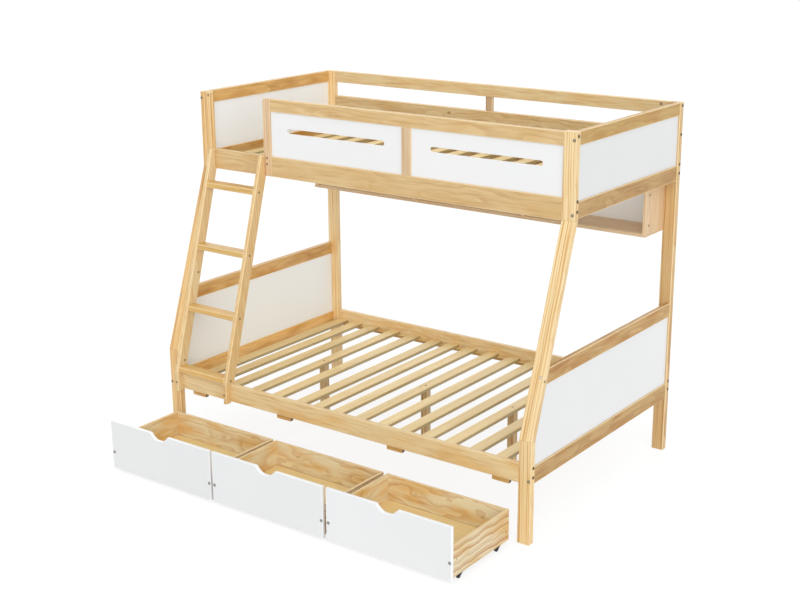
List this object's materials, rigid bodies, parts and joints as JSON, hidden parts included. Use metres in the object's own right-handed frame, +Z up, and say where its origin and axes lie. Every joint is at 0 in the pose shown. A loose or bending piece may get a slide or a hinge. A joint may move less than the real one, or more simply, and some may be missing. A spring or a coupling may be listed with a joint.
{
  "type": "bunk bed",
  "caption": "Pine bunk bed with a single upper bed over a wider lower bed, bent front posts, a leaning ladder, white panels, a bay shelf and drawers on casters.",
  "frame": {"origin": "on the floor, under the middle of the space that the bed takes up with its drawers out", "axes": "+X along the bed from the ladder's end to the other, +Y from the ladder's side to the wall side, +Z up"},
  "size_m": [2.028, 1.7116, 1.656],
  "materials": {
    "pine": "clear lacquer, satin",
    "drawer_pine": "clear lacquer, satin",
    "white_panel": "white paint, satin",
    "caster_plastic": "black, matt"
  },
  "bodies": {
    "bed_frame": {"left_back_post": "pine", "left_front_post": "pine", "left_upper_end_top_rail": "pine", "left_upper_end_bottom_rail": "pine", "left_lower_end_top_rail": "pine", "left_lower_end_bottom_rail": "pine", "right_back_post": "pine", "right_front_post": "pine", "right_upper_end_top_rail": "pine", "right_upper_end_bottom_rail": "pine", "right_lower_end_top_rail": "pine", "right_lower_end_bottom_rail": "pine", "lower_front_rail": "pine", "lower_back_rail": "pine", "upper_front_rail": "pine", "upper_back_rail": "pine", "guard_end_upright": "pine", "guard_middle_upright": "pine", "guard_top_rail": "pine", "wall_guard_top_rail": "pine", "wall_guard_lower_rail": "pine", "wall_guard_upright": "pine", "lower_slat_deck": "pine", "upper_slat_deck": "pine", "ladder_left_stile": "pine", "ladder_right_stile": "pine", "ladder_rung_1": "pine", "ladder_rung_2": "pine", "ladder_rung_3": "pine", "ladder_rung_4": "pine", "shelf_boards": "pine", "left_upper_end_panel": "white_panel", "left_lower_end_panel": "white_panel", "right_upper_end_panel": "white_panel", "right_lower_end_panel": "white_panel", "guard_left_panel": "white_panel", "guard_right_panel": "white_panel", "shelf_back": "white_panel"},
    "drawer_1": {"drawer_1_front": "white_panel", "drawer_1_box": "drawer_pine", "drawer_1_bottom": "drawer_pine"},
    "drawer_1_wheel_front_left": {"drawer_1_wheel_front_left": "caster_plastic"},
    "drawer_1_wheel_front_right": {"drawer_1_wheel_front_right": "caster_plastic"},
    "drawer_1_wheel_back_left": {"drawer_1_wheel_back_left": "caster_plastic"},
    "drawer_1_wheel_back_right": {"drawer_1_wheel_back_right": "caster_plastic"},
    "drawer_2": {"drawer_2_front": "white_panel", "drawer_2_box": "drawer_pine", "drawer_2_bottom": "drawer_pine"},
    "drawer_2_wheel_front_left": {"drawer_2_wheel_front_left": "caster_plastic"},
    "drawer_2_wheel_front_right": {"drawer_2_wheel_front_right": "caster_plastic"},
    "drawer_2_wheel_back_left": {"drawer_2_wheel_back_left": "caster_plastic"},
    "drawer_2_wheel_back_right": {"drawer_2_wheel_back_right": "caster_plastic"},
    "drawer_3": {"drawer_3_front": "white_panel", "drawer_3_box": "drawer_pine", "drawer_3_bottom": "drawer_pine"},
    "drawer_3_wheel_front_left": {"drawer_3_wheel_front_left": "caster_plastic"},
    "drawer_3_wheel_front_right": {"drawer_3_wheel_front_right": "caster_plastic"},
    "drawer_3_wheel_back_left": {"drawer_3_wheel_back_left": "caster_plastic"},
    "drawer_3_wheel_back_right": {"drawer_3_wheel_back_right": "caster_plastic"}
  },
  "joints": [
    {"name": "drawer_1_slide", "type": "slide", "parent": "bed_frame", "child": "drawer_1", "axis": [0, 1, 0], "range_m": [0, 0.457]},
    {"name": "drawer_1_wheel_front_left_spin", "type": "hinge", "parent": "drawer_1", "child": "drawer_1_wheel_front_left", "pos_m": [-0.93, -0.78875, 0.01], "axis": [-1, 0, 0], "continuous": true},
    {"name": "drawer_1_wheel_front_right_spin", "type": "hinge", "parent": "drawer_1", "child": "drawer_1_wheel_front_right", "pos_m": [-0.33667, -0.78875, 0.01], "axis": [-1, 0, 0], "continuous": true},
    {"name": "drawer_1_wheel_back_left_spin", "type": "hinge", "parent": "drawer_1", "child": "drawer_1_wheel_back_left", "pos_m": [-0.93, -0.51525, 0.01], "axis": [-1, 0, 0], "continuous": true},
    {"name": "drawer_1_wheel_back_right_spin", "type": "hinge", "parent": "drawer_1", "child": "drawer_1_wheel_back_right", "pos_m": [-0.33667, -0.51525, 0.01], "axis": [-1, 0, 0], "continuous": true},
    {"name": "drawer_2_slide", "type": "slide", "parent": "bed_frame", "child": "drawer_2", "axis": [0, 1, 0], "range_m": [0, 0.457]},
    {"name": "drawer_2_wheel_front_left_spin", "type": "hinge", "parent": "drawer_2", "child": "drawer_2_wheel_front_left", "pos_m": [-0.29922, -0.78875, 0.01], "axis": [-1, 0, 0], "continuous": true},
    {"name": "drawer_2_wheel_front_right_spin", "type": "hinge", "parent": "drawer_2", "child": "drawer_2_wheel_front_right", "pos_m": [0.29412, -0.78875, 0.01], "axis": [-1, 0, 0], "continuous": true},
    {"name": "drawer_2_wheel_back_left_spin", "type": "hinge", "parent": "drawer_2", "child": "drawer_2_wheel_back_left", "pos_m": [-0.29922, -0.51525, 0.01], "axis": [-1, 0, 0], "continuous": true},
    {"name": "drawer_2_wheel_back_right_spin", "type": "hinge", "parent": "drawer_2", "child": "drawer_2_wheel_back_right", "pos_m": [0.29412, -0.51525, 0.01], "axis": [-1, 0, 0], "continuous": true},
    {"name": "drawer_3_slide", "type": "slide", "parent": "bed_frame", "child": "drawer_3", "axis": [0, 1, 0], "range_m": [0, 0.457]},
    {"name": "drawer_3_wheel_front_left_spin", "type": "hinge", "parent": "drawer_3", "child": "drawer_3_wheel_front_left", "pos_m": [0.33667, -0.78875, 0.01], "axis": [-1, 0, 0], "continuous": true},
    {"name": "drawer_3_wheel_front_right_spin", "type": "hinge", "parent": "drawer_3", "child": "drawer_3_wheel_front_right", "pos_m": [0.93, -0.78875, 0.01], "axis": [-1, 0, 0], "continuous": true},
    {"name": "drawer_3_wheel_back_left_spin", "type": "hinge", "parent": "drawer_3", "child": "drawer_3_wheel_back_left", "pos_m": [0.33667, -0.51525, 0.01], "axis": [-1, 0, 0], "continuous": true},
    {"name": "drawer_3_wheel_back_right_spin", "type": "hinge", "parent": "drawer_3", "child": "drawer_3_wheel_back_right", "pos_m": [0.93, -0.51525, 0.01], "axis": [-1, 0, 0], "continuous": true}
  ],
  "couplings": [
    {"joint": "drawer_1_wheel_front_left_spin", "follows": "drawer_1_slide", "rad_per_m": 100},
    {"joint": "drawer_1_wheel_front_right_spin", "follows": "drawer_1_slide", "rad_per_m": 100},
    {"joint": "drawer_1_wheel_back_left_spin", "follows": "drawer_1_slide", "rad_per_m": 100},
    {"joint": "drawer_1_wheel_back_right_spin", "follows": "drawer_1_slide", "rad_per_m": 100},
    {"joint": "drawer_2_wheel_front_left_spin", "follows": "drawer_2_slide", "rad_per_m": 100},
    {"joint": "drawer_2_wheel_front_right_spin", "follows": "drawer_2_slide", "rad_per_m": 100},
    {"joint": "drawer_2_wheel_back_left_spin", "follows": "drawer_2_slide", "rad_per_m": 100},
    {"joint": "drawer_2_wheel_back_right_spin", "follows": "drawer_2_slide", "rad_per_m": 100},
    {"joint": "drawer_3_wheel_front_left_spin", "follows": "drawer_3_slide", "rad_per_m": 100},
    {"joint": "drawer_3_wheel_front_right_spin", "follows": "drawer_3_slide", "rad_per_m": 100},
    {"joint": "drawer_3_wheel_back_left_spin", "follows": "drawer_3_slide", "rad_per_m": 100},
    {"joint": "drawer_3_wheel_back_right_spin", "follows": "drawer_3_slide", "rad_per_m": 100}
  ]
}
